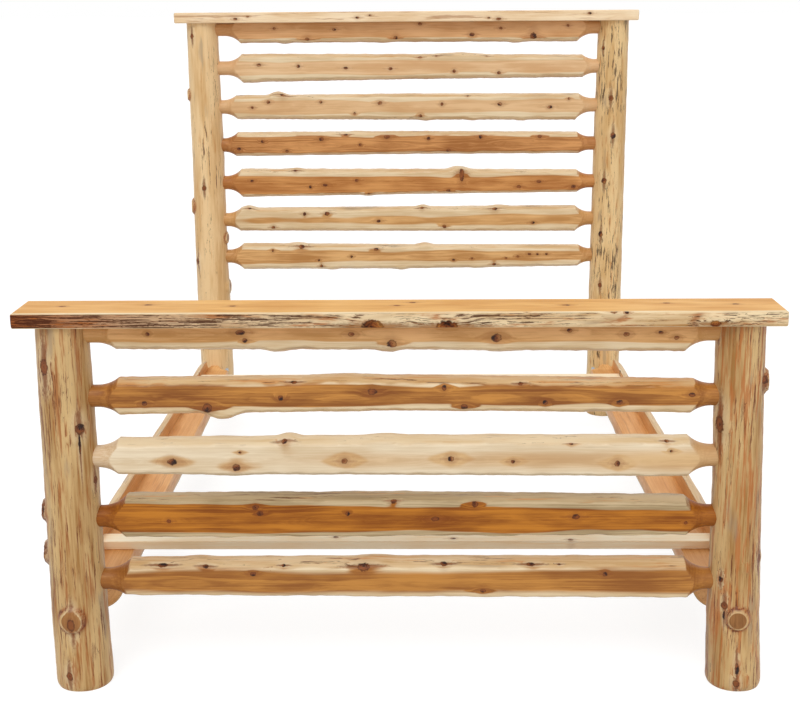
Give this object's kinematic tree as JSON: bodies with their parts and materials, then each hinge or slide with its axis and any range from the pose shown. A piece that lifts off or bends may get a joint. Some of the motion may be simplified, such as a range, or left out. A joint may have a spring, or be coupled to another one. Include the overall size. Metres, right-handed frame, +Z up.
{
  "type": "log bed frame",
  "caption": "Rustic log bed frame: peeled log posts, live-edge rails with flared round tenons, flat caps, and side logs with a rabbet that carries slats and a queen mattress",
  "frame": {"origin": "on the floor, under the middle of the bed's bounding box", "axes": "+X to the right as seen from the foot end, +Y from the foot end to the head end, +Z up"},
  "size_m": [1.6956, 2.306, 1.5392],
  "materials": {
    "peeled_log": "clear satin lacquer over peeled sapwood, with knots and brown streaks",
    "live_edge_rail": "clear satin lacquer, sawn faces with orange heartwood between pale live edges",
    "cap_board": "clear satin lacquer, planed",
    "side_log": "clear satin lacquer, orange heartwood in the rabbet under a pale skin",
    "slat_wood": "planed, unfinished",
    "dowel_wood": "turned, glued",
    "screw_steel": "zinc plated"
  },
  "bodies": {
    "root": {"head_post_left": "peeled_log", "head_post_right": "peeled_log", "foot_post_left": "peeled_log", "foot_post_right": "peeled_log", "head_cap": "cap_board", "foot_cap": "cap_board", "head_rail_1": "live_edge_rail", "head_rail_2": "live_edge_rail", "head_rail_3": "live_edge_rail", "head_rail_4": "live_edge_rail", "head_rail_5": "live_edge_rail", "head_rail_6": "live_edge_rail", "head_rail_7": "live_edge_rail", "foot_rail_1": "live_edge_rail", "foot_rail_2": "live_edge_rail", "foot_rail_3": "live_edge_rail", "foot_rail_4": "live_edge_rail", "foot_rail_5": "live_edge_rail", "side_rail_left": "side_log", "side_rail_right": "side_log", "slat_1": "slat_wood", "slat_2": "slat_wood", "slat_3": "slat_wood", "cap_dowels": "dowel_wood", "rail_lock_screws": "screw_steel"}
  },
  "joints": []
}
